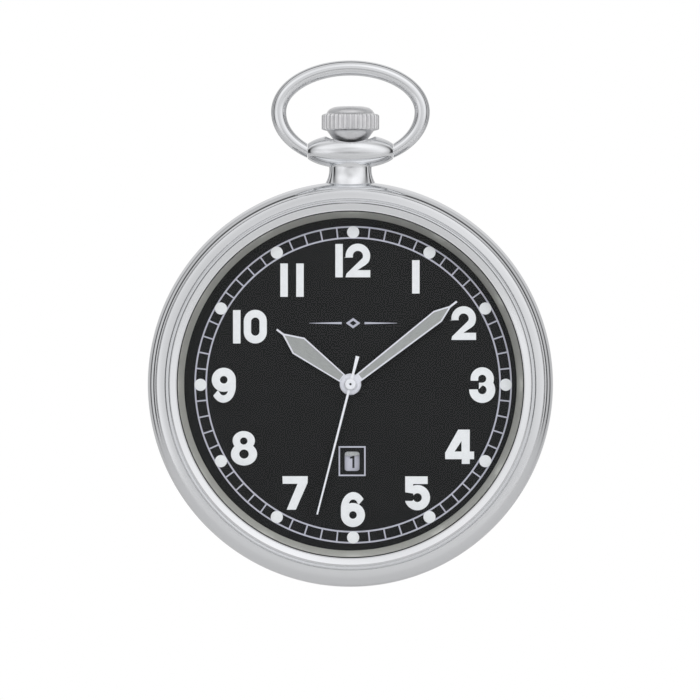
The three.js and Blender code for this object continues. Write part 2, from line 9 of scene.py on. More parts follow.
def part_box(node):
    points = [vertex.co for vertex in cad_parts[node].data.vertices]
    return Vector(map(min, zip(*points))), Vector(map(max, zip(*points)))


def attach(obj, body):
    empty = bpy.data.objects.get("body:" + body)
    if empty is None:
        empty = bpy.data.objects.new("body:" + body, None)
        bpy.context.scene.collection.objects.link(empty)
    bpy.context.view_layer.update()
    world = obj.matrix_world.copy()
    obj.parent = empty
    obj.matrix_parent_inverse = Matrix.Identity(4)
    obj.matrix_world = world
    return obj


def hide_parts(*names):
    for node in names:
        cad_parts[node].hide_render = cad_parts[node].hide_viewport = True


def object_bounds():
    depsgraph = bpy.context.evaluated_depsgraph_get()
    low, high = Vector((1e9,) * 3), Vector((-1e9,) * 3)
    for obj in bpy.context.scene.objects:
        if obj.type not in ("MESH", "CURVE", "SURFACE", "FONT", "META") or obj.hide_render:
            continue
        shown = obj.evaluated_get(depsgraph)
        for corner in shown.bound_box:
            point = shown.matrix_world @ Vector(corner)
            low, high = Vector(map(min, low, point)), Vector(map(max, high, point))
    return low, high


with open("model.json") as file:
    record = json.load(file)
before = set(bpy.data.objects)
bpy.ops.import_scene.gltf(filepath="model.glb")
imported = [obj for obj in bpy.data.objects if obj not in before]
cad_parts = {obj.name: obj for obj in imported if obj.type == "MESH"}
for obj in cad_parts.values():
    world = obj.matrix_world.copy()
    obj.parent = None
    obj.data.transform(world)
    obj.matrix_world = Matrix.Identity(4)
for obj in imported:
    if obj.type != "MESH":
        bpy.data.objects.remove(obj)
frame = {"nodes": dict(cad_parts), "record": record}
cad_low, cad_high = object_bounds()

# Looks of the open face pocket watch. The frame is in metres with its origin at the chain seat, inside
# the top of the bow. Pieces are modelled in millimetres about the centre of the dial, x to the right,
# y from front to back and z up, and then set into the frame.

MM = 0.001
LENS_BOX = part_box("crystal")
DIAL_CENTRE = Vector(((LENS_BOX[0].x + LENS_BOX[1].x) / 2, 0, (LENS_BOX[0].z + LENS_BOX[1].z) / 2))
PLACE = Matrix.Translation(DIAL_CENTRE) @ Matrix.Scale(MM, 4)
RING_SIDES = 256
SMALL_SIDES = 64


def corners(node):
    """A CAD node's lowest and highest corners, in millimetres about the centre of the dial."""
    low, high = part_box(node)
    return (low - DIAL_CENTRE) / MM, (high - DIAL_CENTRE) / MM


# ---- driving sizes, from the frame ----

CASE_RADIUS = corners("case_middle")[1].x
CASE_FRONT, CASE_BACK = corners("case_middle")[0].y, corners("case_middle")[1].y
BEZEL_FRONT = corners("bezel")[0].y
BEZEL_RADIUS = corners("bezel")[1].x
CRYSTAL_RADIUS = corners("crystal")[1].x
CRYSTAL_FRONT, CRYSTAL_UNDER = corners("crystal")[0].y, corners("crystal")[1].y
BACK_RADIUS = corners("caseback")[1].x
BACK_OUTSIDE = corners("caseback")[1].y
DIAL_RADIUS = corners("dial")[1].x
DIAL_FRONT = corners("dial")[0].y
DIAL_BACK = DIAL_FRONT + 0.4
DATE_FRONT = corners("date_ring")[0].y
CROWN_RADIUS = corners("crown")[1].x
CROWN_TOP = corners("crown")[1].z
CROWN_FOOT = corners("crown")[0].z
BOW_SIDE = corners("bow")[1].x
BULB_END = corners("pendant")[1].x
BOW_WIRE = 0.9
BOW_END_WIRE = 0.74
BOW_END = 5.1
PIVOT_HEIGHT = 27.58
PIN_RADIUS = 0.35
PIN_BORE = 0.38
STEM_BORE = 0.96
NECK_DEPTH_SHARE = 0.68
BULB_DEPTH_SHARE = 1.2
HOUR_ANGLE = -53.4
MINUTE_ANGLE = 52.1
SECONDS_ANGLE = 194.35
WINDOW = {"width": 1.7, "height": 2.23, "below": 9.12, "corner": 0.3}
PRINT = 0.05

# The date window and the printing each sit a little off the case's centre.
WINDOW_SHIFT = 0.2
PRINT_SHIFT = (0.32, 0, -0.07)


# ---- shapes ----


def arc(centre, radius, start, end, steps=16):
    """Points on a circle or ellipse from one angle to another, in degrees."""
    rx, ry = radius if isinstance(radius, tuple) else (radius, radius)
    angles = [math.radians(start + (end - start) * i / steps) for i in range(steps + 1)]
    return [(centre[0] + rx * math.cos(a), centre[1] + ry * math.sin(a)) for a in angles]


def circle(radius, sides=SMALL_SIDES, centre=(0, 0)):
    return arc(centre, radius, 0, 360, sides)[:-1]


def softened(outline, steps=5):
    """Rounds each corner of an outline that has a third number, the radius of its fillet."""
    made = []
    count = len(outline)
    for i, point in enumerate(outline):
        here = Vector(point[:2])
        radius = point[2] if len(point) > 2 else 0
        if not radius:
            made.append(tuple(here))
            continue
        back = Vector(outline[i - 1][:2]) - here
        ahead = Vector(outline[(i + 1) % count][:2]) - here
        half = back.angle(ahead) / 2
        reach = min(radius / math.tan(half), 0.48 * min(back.length, ahead.length))
        radius = reach * math.tan(half)
        back.normalize()
        ahead.normalize()
        middle = here + (back + ahead).normalized() * radius / math.sin(half)
        first = here + back * reach - middle
        last = here + ahead * reach - middle
        sweep = first.angle_signed(last)
        for step in range(steps + 1):
            made.append(tuple(middle + Matrix.Rotation(-sweep * step / steps, 2) @ first))
    return made


def clean_mesh(mesh, distance=1e-5):
    made = bmesh.new()
    made.from_mesh(mesh)
    bmesh.ops.remove_doubles(made, verts=made.verts, dist=distance)
    bmesh.ops.recalc_face_normals(made, faces=made.faces)
    made.to_mesh(mesh)
    made.free()
    return mesh


def turned(outline, sides=RING_SIDES, axis="Y"):
    """A mesh of a closed [radius, along] outline turned about Y, or about X or Z when asked."""
    points = []
    for i in range(sides):
        across = math.cos(2 * math.pi * i / sides)
        up = math.sin(2 * math.pi * i / sides)
        for radius, along in outline:
            swapped = {
                "Y": (radius * across, along, radius * up),
                "Z": (radius * across, radius * up, along),
                "X": (along, radius * across, radius * up),
            }
            points.append(swapped[axis])
    count = len(outline)
    faces = []
    for i in range(sides):
        here, there = i * count, (i + 1) % sides * count
        for j in range(count):
            k = (j + 1) % count
            if outline[j][0] > 0 or outline[k][0] > 0:
                faces.append((here + j, here + k, there + k, there + j))
    mesh = bpy.data.meshes.new("turned")
    mesh.from_pydata(points, [], faces)
    return clean_mesh(mesh)


def plate(loops, front, back, bevel=0.0, steps=2):
    """A mesh of flat loops drawn in the X-Z plane, with inner loops as holes, between two depths."""
    curve = bpy.data.curves.new("plate", "CURVE")
    curve.dimensions = "2D"
    curve.fill_mode = "BOTH"
    curve.extrude = (back - front) / 2 - bevel
    curve.bevel_depth = bevel
    curve.bevel_resolution = steps
    curve.offset = -bevel
    for loop in loops:
        spline = curve.splines.new("POLY")
        spline.points.add(len(loop) - 1)
        for point, (x, z) in zip(spline.points, loop):
            point.co = (x, z, 0, 1)
        spline.use_cyclic_u = True
    holder = bpy.data.objects.new("plate", curve)
    bpy.context.scene.collection.objects.link(holder)
    ready = holder.evaluated_get(bpy.context.evaluated_depsgraph_get())
    mesh = bpy.data.meshes.new_from_object(ready)
    bpy.data.objects.remove(holder)
    bpy.data.curves.remove(curve)
    mesh.transform(Matrix.Translation((0, (front + back) / 2, 0)) @ Matrix.Rotation(math.pi / 2, 4, "X"))
    return clean_mesh(mesh)


def joined(*meshes):
    """One mesh of several closed shells."""
    made = bmesh.new()
    for mesh in meshes:
        made.from_mesh(mesh)
    whole = bpy.data.meshes.new("joined")
    made.to_mesh(whole)
    made.free()
    return whole


def moved(mesh, offset=(0, 0, 0), turn=0.0):
    """Turns a mesh clockwise, as seen from the front, by degrees about the hands' axis and moves it."""
    mesh.transform(Matrix.Translation(offset) @ Matrix.Rotation(math.radians(turn), 4, "Y"))
    return mesh


def placed(loops, offset, scale=1.0, turn=0.0):
    """Flat loops scaled, turned clockwise by degrees and moved in the X-Z plane."""
    cos, sin = math.cos(math.radians(turn)), math.sin(math.radians(turn))
    return [
        [
            (offset[0] + scale * (x * cos + z * sin), offset[1] + scale * (z * cos - x * sin))
            for x, z in loop
        ]
        for loop in loops
    ]


def shaped(mesh, *steps):
    """The mesh after modifiers, each given as its type and its settings."""
    holder = bpy.data.objects.new("shaped", mesh)
    bpy.context.scene.collection.objects.link(holder)
    for kind, settings in steps:
        modifier = holder.modifiers.new(kind, kind)
        for name, value in settings.items():
            setattr(modifier, name, value)
    ready = holder.evaluated_get(bpy.context.evaluated_depsgraph_get())
    made = bpy.data.meshes.new_from_object(ready)
    bpy.data.objects.remove(holder)
    return made


def combined(mesh, operation, *tools):
    """The mesh with each tool joined to it or taken from it."""
    for tool in tools:
        other = bpy.data.objects.new("other", tool)
        bpy.context.scene.collection.objects.link(other)
        mesh = shaped(mesh, ("BOOLEAN", {"operation": operation, "solver": "EXACT", "object": other}))
        bpy.data.objects.remove(other)
    return mesh


def piece(name, mesh, material, body, slot, *nodes, sharp=30.0, weighted=True):
    """Sets a mesh into the frame as a piece that rides on a body and stands for CAD nodes."""
    mesh.transform(PLACE)
    mesh.shade_smooth()
    mesh.set_sharp_from_angle(angle=math.radians(sharp))
    mesh.materials.clear()
    mesh.materials.append(material)
    made = bpy.data.objects.new(name, mesh)
    bpy.context.scene.collection.objects.link(made)
    if weighted:
        modifier = made.modifiers.new("even shading", "WEIGHTED_NORMAL")
        modifier.keep_sharp = True
    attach(made, body)
    if nodes:
        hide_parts(*nodes)
    return made


# ---- materials ----


def math_node(tree, operation, *values):
    """The output of a Math node in a node tree, fed by sockets or plain numbers."""
    node = tree.nodes.new("ShaderNodeMath")
    node.operation = operation
    for socket, value in zip(node.inputs, values):
        if isinstance(value, bpy.types.NodeSocket):
            tree.links.new(value, socket)
        else:
            socket.default_value = value
    return node.outputs[0]


class Surface:
    """A node material around one Principled shader, with short ways to add texture to it."""

    def __init__(self, name, color, metallic=0.0, roughness=0.5, **sockets):
        self.material = bpy.data.materials.new(name)
        self.material.use_nodes = True
        self.nodes = self.material.node_tree.nodes
        self.links = self.material.node_tree.links
        self.shader = self.nodes["Principled BSDF"]
        self.shader.inputs["Base Color"].default_value = (*color, 1)
        self.shader.inputs["Metallic"].default_value = metallic
        self.shader.inputs["Roughness"].default_value = roughness
        for socket, value in sockets.items():
            self.shader.inputs[socket.replace("_", " ")].default_value = value
        self.color = color
        self.roughness = roughness
        self.bumps = None

    def add(self, kind, settings=None, **inputs):
        node = self.nodes.new(kind)
        for name, value in (settings or {}).items():
            setattr(node, name, value)
        for name, value in inputs.items():
            socket = node.inputs[name.replace("_", " ")]
            if isinstance(value, bpy.types.NodeSocket):
                self.links.new(value, socket)
            else:
                socket.default_value = value
        return node

    def math(self, operation, *values):
        return math_node(self.material.node_tree, operation, *values)

    def place(self):
        """The position in millimetres about the centre of the dial, which moves with its piece."""
        coordinates = self.nodes.new("ShaderNodeTexCoord")
        shift = self.add("ShaderNodeVectorMath", {"operation": "SUBTRACT"})
        self.links.new(coordinates.outputs["Object"], shift.inputs[0])
        shift.inputs[1].default_value = DIAL_CENTRE
        scale = self.add("ShaderNodeVectorMath", {"operation": "SCALE"}, Scale=1 / MM)
        self.links.new(shift.outputs[0], scale.inputs[0])
        return scale.outputs[0]

    def stretched(self, factors):
        """The position with each axis scaled, for grain that runs along one axis."""
        node = self.add("ShaderNodeVectorMath", {"operation": "MULTIPLY"})
        self.links.new(self.place(), node.inputs[0])
        node.inputs[1].default_value = factors
        return node.outputs[0]

    def around(self, radial, turning):
        """Coordinates for grain about the hands' axis: scaled distance from it and scaled angle."""
        split = self.add("ShaderNodeSeparateXYZ", Vector=self.place())
        x, y, z = split.outputs
        squares = self.math("ADD", self.math("MULTIPLY", x, x), self.math("MULTIPLY", z, z))
        radius = self.math("SQRT", squares)
        angle = self.math("ARCTAN2", z, x)
        both = self.add(
            "ShaderNodeCombineXYZ",
            X=self.math("MULTIPLY", radius, radial),
            Y=self.math("MULTIPLY", angle, turning),
            Z=y,
        )
        return both.outputs[0]

    def noise(self, vector, scale, detail=3.0, roughness=0.55):
        node = self.add(
            "ShaderNodeTexNoise", Vector=vector, Scale=scale, Detail=detail, Roughness=roughness
        )
        return node.outputs["Fac"]

    def spread(self, value, low, high, start=0.3, end=0.7):
        """A texture value mapped onto a range."""
        node = self.add("ShaderNodeMapRange", {"clamp": True}, Value=value)
        node.inputs["From Min"].default_value = start
        node.inputs["From Max"].default_value = end
        node.inputs["To Min"].default_value = low
        node.inputs["To Max"].default_value = high
        return node.outputs["Result"]

    def vary_roughness(self, value, amount):
        self.links.new(
            self.spread(value, self.roughness - amount, self.roughness + amount),
            self.shader.inputs["Roughness"],
        )
        return self

    def vary_color(self, value, other):
        mix = self.add("ShaderNodeMix", {"data_type": "RGBA"})
        self.links.new(self.spread(value, 0, 1), mix.inputs["Factor"])
        mix.inputs[6].default_value = (*self.color, 1)
        mix.inputs[7].default_value = (*other, 1)
        self.links.new(mix.outputs[2], self.shader.inputs["Base Color"])
        return self

    def bump(self, value, height, strength=1.0):
        """Adds relief of a height in millimetres."""
        node = self.add("ShaderNodeBump", Strength=strength, Distance=height * MM, Height=value)
        if self.bumps:
            self.links.new(self.bumps, node.inputs["Normal"])
        self.bumps = node.outputs["Normal"]
        self.links.new(self.bumps, self.shader.inputs["Normal"])
        return self


def polished_steel(name, roughness=0.07):
    """Mirror-polished case steel: faint waves in the polish and hair scratches."""
    steel = Surface(name, (0.86, 0.87, 0.885), 1.0, roughness)
    steel.vary_roughness(steel.noise(steel.place(), 0.9, 4), 0.02)
    steel.bump(steel.noise(steel.place(), 0.35, 2), 0.0012)
    steel.bump(steel.noise(steel.stretched((1, 9, 14)), 3, 3), 0.00015)
    return steel.material


def turned_steel(name, color, roughness, depth, metallic=1.0):
    """Steel with fine circular grain about the hands' axis."""
    steel = Surface(name, color, metallic, roughness)
    grain = steel.noise(steel.around(22, 0.5), 1, 4)
    steel.vary_roughness(grain, 0.06)
    steel.bump(grain, depth)
    return steel.material


def crown_steel():
    steel = Surface("crown_satin", (0.88, 0.88, 0.885), 1.0, 0.32)
    blasted = steel.noise(steel.place(), 16, 4)
    steel.vary_roughness(blasted, 0.05)
    steel.vary_color(steel.noise(steel.place(), 1.6, 3), (0.81, 0.81, 0.82))
    steel.bump(blasted, 0.004)
    return steel.material


def ground_steel(name, color=(0.62, 0.63, 0.64), roughness=0.3):
    """Movement steel with straight grain."""
    steel = Surface(name, color, 1.0, roughness)
    grain = steel.noise(steel.stretched((3, 3, 40)), 1, 4)
    steel.vary_roughness(grain, 0.08)
    steel.bump(grain, 0.003)
    return steel.material


def brass():
    metal = Surface("brass_grained", (0.8, 0.6, 0.28), 1.0, 0.3)
    grain = metal.noise(metal.stretched((4, 4, 36)), 1, 4)
    metal.vary_roughness(grain, 0.08)
    metal.vary_color(metal.noise(metal.place(), 0.5, 4), (0.72, 0.5, 0.2))
    metal.bump(grain, 0.003)
    return metal.material


def black_lacquer():
    """The dial's satin lacquer: a smooth dark film with a very fine tooth."""
    film = Surface("dial_lacquer", (0.0085, 0.009, 0.0095), 0.0, 0.46, Specular_IOR_Level=0.2)
    film.vary_color(film.noise(film.place(), 0.3, 4), (0.007, 0.0075, 0.008))
    film.vary_roughness(film.noise(film.place(), 6, 4), 0.05)
    film.bump(film.noise(film.place(), 14, 3), 0.0006)
    return film.material


def print_ink(name, color, roughness=0.45):
    """Thick printed ink, a little uneven at its surface."""
    ink = Surface(name, color, 0.0, roughness)
    ink.vary_color(ink.noise(ink.place(), 2.2, 4), tuple(0.94 * c for c in color))
    ink.vary_roughness(ink.noise(ink.place(), 5, 3), 0.06)
    ink.bump(ink.noise(ink.place(), 9, 3), 0.004)
    return ink.material


def silvered(name, color, metallic=0.55, roughness=0.34):
    """Frosted silvering on the hands."""
    metal = Surface(name, color, metallic, roughness)
    metal.vary_roughness(metal.noise(metal.place(), 8, 4), 0.06)
    metal.bump(metal.noise(metal.place(), 20, 3), 0.002)
    return metal.material


def hand_face(name, degrees):
    """The grey inlay of a hand, grained along its length."""
    face = Surface(name, (0.40, 0.405, 0.40), 0.35, 0.42)
    along = math.radians(degrees)
    turn = face.add("ShaderNodeVectorRotate", {"rotation_type": "Y_AXIS"}, Angle=-along)
    face.links.new(face.place(), turn.inputs["Vector"])
    scale = face.add("ShaderNodeVectorMath", {"operation": "MULTIPLY"})
    face.links.new(turn.outputs[0], scale.inputs[0])
    scale.inputs[1].default_value = (14, 14, 1.6)
    grain = face.noise(scale.outputs[0], 1, 4)
    face.vary_color(grain, (0.33, 0.34, 0.335))
    face.vary_roughness(grain, 0.06)
    face.bump(grain, 0.003)
    return face.material


def rubber(name, color=(0.02, 0.02, 0.021)):
    seal = Surface(name, color, 0.0, 0.75)
    seal.vary_roughness(seal.noise(seal.place(), 4, 4), 0.1)
    seal.bump(seal.noise(seal.place(), 10, 4), 0.01)
    return seal.material


def moulded_plastic():
    plastic = Surface("moulded_ring", (0.10, 0.105, 0.11), 0.0, 0.55)
    plastic.vary_color(plastic.noise(plastic.place(), 0.7, 4), (0.085, 0.09, 0.095))
    plastic.vary_roughness(plastic.noise(plastic.place(), 7, 4), 0.08)
    plastic.bump(plastic.noise(plastic.place(), 12, 3), 0.008)
    return plastic.material


def date_paint():
    paint = Surface("date_disc_paint", (0.58, 0.58, 0.66), 0.0, 0.5)
    paint.vary_color(paint.noise(paint.place(), 1.2, 4), (0.52, 0.52, 0.61))
    paint.vary_roughness(paint.noise(paint.place(), 5, 3), 0.06)
    paint.bump(paint.noise(paint.place(), 9, 3), 0.002)
    return paint.material


def coil_wire():
    """Enamelled winding: fine turns across the coil's length."""
    wire = Surface("coil_wire", (0.62, 0.25, 0.1), 0.85, 0.34)
    split = wire.add("ShaderNodeSeparateXYZ", Vector=wire.place())
    turns = wire.math("SINE", wire.math("MULTIPLY", split.outputs[0], 2 * math.pi / 0.06))
    wire.vary_color(wire.noise(wire.place(), 3, 3), (0.5, 0.18, 0.07))
    wire.vary_roughness(wire.noise(wire.place(), 6, 3), 0.08)
    wire.bump(turns, 0.02)
    return wire.material


def circuit_mask():
    """Solder mask with the copper tracks showing through as lighter, raised lines."""
    board = Surface("solder_mask", (0.012, 0.13, 0.05), 0.0, 0.32)
    cells = board.add(
        "ShaderNodeTexVoronoi", {"distance": "MANHATTAN", "feature": "F1"},
        Vector=board.place(), Scale=0.8,
    )
    bands = board.math("PINGPONG", cells.outputs["Distance"], 0.16)
    tracks = board.spread(bands, 0, 1, 0.05, 0.08)
    mix = board.add("ShaderNodeMix", {"data_type": "RGBA"})
    board.links.new(tracks, mix.inputs["Factor"])
    mix.inputs[6].default_value = (0.012, 0.13, 0.05, 1)
    mix.inputs[7].default_value = (0.03, 0.22, 0.08, 1)
    board.links.new(mix.outputs[2], board.shader.inputs["Base Color"])
    board.vary_roughness(board.noise(board.place(), 6, 3), 0.06)
    board.bump(tracks, 0.02)
    return board.material


def chip_resin():
    resin = Surface("potting_resin", (0.018, 0.018, 0.02), 0.0, 0.5)
    resin.vary_roughness(resin.noise(resin.place(), 3, 4), 0.12)
    resin.bump(resin.noise(resin.place(), 5, 4), 0.03)
    return resin.material


def crystal_glass():
    """A coated clear pane: what is behind shows straight through, and its outside mirrors a little."""
    glass = bpy.data.materials.new("crystal_clear")
    glass.use_nodes = True
    nodes, links = glass.node_tree.nodes, glass.node_tree.links
    nodes.remove(nodes["Principled BSDF"])
    clear = nodes.new("ShaderNodeBsdfTransparent")
    clear.inputs["Color"].default_value = (0.985, 0.99, 0.99, 1)
    mirror = nodes.new("ShaderNodeBsdfGlossy")
    place = nodes.new("ShaderNodeTexCoord")
    noise = nodes.new("ShaderNodeTexNoise")
    noise.inputs["Scale"].default_value = 400
    links.new(place.outputs["Object"], noise.inputs["Vector"])
    smears = nodes.new("ShaderNodeMapRange")
    smears.inputs["To Min"].default_value = 0.01
    smears.inputs["To Max"].default_value = 0.04
    links.new(noise.outputs["Fac"], smears.inputs["Value"])
    links.new(smears.outputs["Result"], mirror.inputs["Roughness"])
    fresnel = nodes.new("ShaderNodeFresnel")
    fresnel.inputs["IOR"].default_value = 1.22
    geometry = nodes.new("ShaderNodeNewGeometry")
    outside = math_node(glass.node_tree, "SUBTRACT", 1.0, geometry.outputs["Backfacing"])
    share = math_node(glass.node_tree, "MULTIPLY", fresnel.outputs[0], outside)
    mix = nodes.new("ShaderNodeMixShader")
    links.new(share, mix.inputs[0])
    links.new(clear.outputs[0], mix.inputs[1])
    links.new(mirror.outputs[0], mix.inputs[2])
    links.new(mix.outputs[0], nodes["Material Output"].inputs["Surface"])
    return glass


STEEL = polished_steel("case_polished")
BEZEL_STEEL = polished_steel("bezel_polished", 0.09)
BOW_STEEL = polished_steel("bow_polished", 0.08)
BACK_STEEL = turned_steel("caseback_brushed", (0.82, 0.83, 0.845), 0.2, 0.0025)
REHAUT_STEEL = turned_steel("rehaut_brushed", (0.74, 0.735, 0.68), 0.34, 0.006, 0.45)
CROWN_STEEL = crown_steel()
MOVEMENT_STEEL = ground_steel("movement_ground")
BATTERY_STEEL = ground_steel("drawn_nickel", (0.76, 0.76, 0.74), 0.24)
BRASS = brass()
LACQUER = black_lacquer()
FIGURE_INK = print_ink("figure_ink", (0.80, 0.81, 0.83))
TRACK_INK = print_ink("track_ink", (0.48, 0.48, 0.56))
# Black print ink for the date figures. The same material also fills the seconds boss's dimple, where it
# is painted shade.
BLACK_INK_AND_SHADE = print_ink("date_ink_and_dimple_shade", (0.015, 0.015, 0.02))
RIM_SILVER = silvered("hand_rim", (0.86, 0.86, 0.93))
NEEDLE_SILVER = silvered("seconds_silver", (0.90, 0.90, 0.95), 0.4)
SEAL = rubber("seal_rubber")
PLASTIC = moulded_plastic()
DATE_PAINT = date_paint()
GLASS = crystal_glass()

NODE_MATERIALS = {
    "polished_steel": STEEL,
    "crown_steel": CROWN_STEEL,
    "hand_metal": RIM_SILVER,
    "dial_black": LACQUER,
    "rehaut_steel": REHAUT_STEEL,
    "crystal_glass": GLASS,
    "seal_rubber": SEAL,
    "ring_plastic": PLASTIC,
    "brass": BRASS,
    "movement_steel": MOVEMENT_STEEL,
    "date_white": DATE_PAINT,
    "coil_copper": coil_wire(),
    "board_green": circuit_mask(),
    "chip_black": chip_resin(),
    "battery_steel": BATTERY_STEEL,
}
for part in frame["record"]["subparts"]:
    mesh = frame["nodes"][part["node"]].data
    mesh.materials.clear()
    mesh.materials.append(NODE_MATERIALS[part["material_slot"]])

# ---- case ----


def case_band():
    """The case middle: a flat sloped shoulder beside the bezel, a small step and a rounded flank."""
    front, back = CASE_FRONT, CASE_BACK
    flank = arc((22.0, -0.35), (CASE_RADIUS - 22.0, 3.1), -62, 62, 28)
    return turned(softened([
        (20.5, -3.25), (21.93, -3.25), (21.93, front, 0.02), (22.84, front + 0.16, 0.06),
        (22.93, -3.86, 0.04), (23.02, -3.8, 0.06),
        *flank,
        (23.1, back - 0.2, 0.06), (22.95, back, 0.1), (21.6, back), (21.6, 1.7), (20.5, 1.7),
    ]))


def bezel_ring():
    """The bezel: a bright bevel that rises away from the glass, a groove and a thin outer lip."""
    front = BEZEL_FRONT
    return turned(softened([
        (20.65, -3.28), (20.65, -4.5), (20.5, -4.5), (20.5, front + 0.3, 0.02),
        (21.28, front, 0.04), (21.42, front + 0.16, 0.05),
        (21.56, front + 0.33, 0.03), (21.62, front + 0.33, 0.03), (21.74, front + 0.24, 0.03),
        (BEZEL_RADIUS, front + 0.52, 0.03), (BEZEL_RADIUS, -3.28),
    ]))


def crystal_dome():
    """A slightly domed glass with a ground chamfer at its edge."""
    edge = 0.65
    dome = [
        (20.2 * i / 24, CRYSTAL_FRONT + edge * (i / 24) ** 2)
        for i in range(25)
    ]
    return turned([
        *dome, (20.3, CRYSTAL_FRONT + edge + 0.06), (CRYSTAL_RADIUS, CRYSTAL_FRONT + 0.78),
        (CRYSTAL_RADIUS, CRYSTAL_UNDER), (0, CRYSTAL_UNDER),
    ])


def back_cover():
    """The caseback: a flat middle, a long soft slope to its edge, and the lip that opens it."""
    back = BACK_OUTSIDE
    return turned(softened([
        (0, back), (17.45, back, 0.8), (19.5, back - 0.12, 0.8), (21.2, back - 0.45, 0.8),
        (22.5, back - 1.0, 0.5), (BACK_RADIUS, 3.7, 0.3), (BACK_RADIUS, 3.4, 0.06), (21.55, 3.4),
        (21.55, 2.06), (20.9, 2.06), (20.9, 3.3), (19.3, 4), (17, 4.25), (0, 4.25),
    ], 8))


piece("case_band", case_band(), STEEL, "case", "polished_steel", "case_middle")
piece("bezel_ring", bezel_ring(), BEZEL_STEEL, "case", "polished_steel", "bezel")
piece("crystal_dome", crystal_dome(), GLASS, "case", "crystal_glass", "crystal", sharp=20)
piece("back_cover", back_cover(), BACK_STEEL, "case", "polished_steel", "caseback")
piece(
    "rehaut_cone",
    turned(softened([
        (19.68, -1.48), (19.68, -1.56, 0.05), (20.36, -3.22, 0.05), (20.45, -3.22), (20.45, -1.48),
    ])),
    REHAUT_STEEL, "case", "rehaut_steel", "rehaut_ring",
)
piece(
    "lens_gasket",
    turned(softened([
        (CRYSTAL_RADIUS + 0.03, -4.45, 0.08), (20.62, -4.45, 0.08), (20.62, -3.35, 0.05),
        (CRYSTAL_RADIUS + 0.03, -3.35, 0.05),
    ])),
    SEAL, "case", "seal_rubber", "crystal_gasket",
)

# ---- pendant, bow and crown ----


def pendant():
    """The neck runs up into a cross bulb, which is dished for the crown and bored for stem and pins."""
    flare = [(2.5 + 0.9 * (1 - i / 16) ** 2.1, 23.2 + 2.3 * i / 16) for i in range(17)]
    throat = [(2.5 + 0.25 * (i / 6) ** 2, 25.5 + 0.7 * i / 6) for i in range(1, 7)]
    neck = turned([(0, 22.4), (3.55, 22.4), *flare, *throat, (2.75, 27), (0, 27)], SMALL_SIDES * 2, "Z")
    neck.transform(Matrix.Scale(NECK_DEPTH_SHARE, 4, (0, 1, 0)))
    half_length, half_height = 5.605, 2.08
    last = math.degrees(math.acos(BULB_END / half_length))
    side = arc((0, 0), (half_height, half_length), -90 + last, 90 - last, 48)
    bulb = turned([(0, side[0][1]), *side, (0, side[-1][1])], SMALL_SIDES * 2, "X")
    deeper = Matrix.Scale(BULB_DEPTH_SHARE, 4, (0, 1, 0))
    bulb.transform(Matrix.Translation((0, 0, PIVOT_HEIGHT + 0.02)) @ deeper)
    dish = turned(
        softened([
            (0, 28.3), (1.7, 28.3, 0.25), (2.2, 28.62, 0.3), (2.85, 29.2), (3.75, 30.8), (0, 30.8),
        ]),
        SMALL_SIDES * 2, "Z",
    )
    bore = turned([(0, 20), (STEM_BORE, 20), (STEM_BORE, 29), (0, 29)], SMALL_SIDES, "Z")
    pin_bores = [
        turned([(0, start), (PIN_BORE, start), (PIN_BORE, start + 1.8), (0, start + 1.8)], 32, "X")
        for start in (-5.4, 3.6)
    ]
    for mesh in pin_bores:
        mesh.transform(Matrix.Translation((0, 0, PIVOT_HEIGHT)))
    body = combined(bulb, "UNION", neck)
    body = combined(body, "DIFFERENCE", dish, bore, *pin_bores)
    return shaped(body, ("BEVEL", {"width": 0.06, "segments": 3, "angle_limit": math.radians(35)}))


def bow():
    """The bow: one oval wire, slimmer towards its flat-cut ends, with a pivot pin in each end."""
    half_width = BOW_SIDE - BOW_WIRE
    centre_height, rise, drop = 32.27, 5.2, 5.78
    end = math.acos(BOW_END / half_width) + 0.09
    steps, sides = 200, 40
    points = []
    for i in range(steps + 1):
        angle = -end + (math.pi + 2 * end) * i / steps
        height = rise if math.sin(angle) > 0 else drop
        middle = Vector((half_width * math.cos(angle), 0, centre_height + height * math.sin(angle)))
        outward = Vector((height * math.cos(angle), 0, half_width * math.sin(angle))).normalized()
        near_end = min(1.0, max(0.0, (-math.sin(angle)) / math.sin(end)))
        radius = BOW_WIRE + (BOW_END_WIRE - BOW_WIRE) * near_end ** 1.5
        for j in range(sides):
            turn = 2 * math.pi * j / sides
            across = math.cos(turn) * outward + math.sin(turn) * Vector((0, 1, 0))
            points.append(middle + radius * across)
    faces = [
        (i * sides + j, i * sides + (j + 1) % sides,
         (i + 1) * sides + (j + 1) % sides, (i + 1) * sides + j)
        for i in range(steps)
        for j in range(sides)
    ]
    faces.append(tuple(range(sides)))
    faces.append(tuple(steps * sides + j for j in range(sides)))
    mesh = bpy.data.meshes.new("bow")
    mesh.from_pydata(points, [], faces)
    clean_mesh(mesh)
    gap = turned([(0, -BOW_END), (3, -BOW_END), (3, BOW_END), (0, BOW_END)], 32, "X")
    gap.transform(Matrix.Translation((0, 0, PIVOT_HEIGHT)))
    mesh = combined(mesh, "DIFFERENCE", gap)
    pins = []
    for start in (-5.5, 3.7):
        pin = turned(softened([(0, start), (PIN_RADIUS, start, 0.05), (PIN_RADIUS, start + 1.8, 0.05),
                               (0, start + 1.8)]), 32, "X")
        pin.transform(Matrix.Translation((0, 0, PIVOT_HEIGHT)))
        pins.append(pin)
    return joined(mesh, *pins)


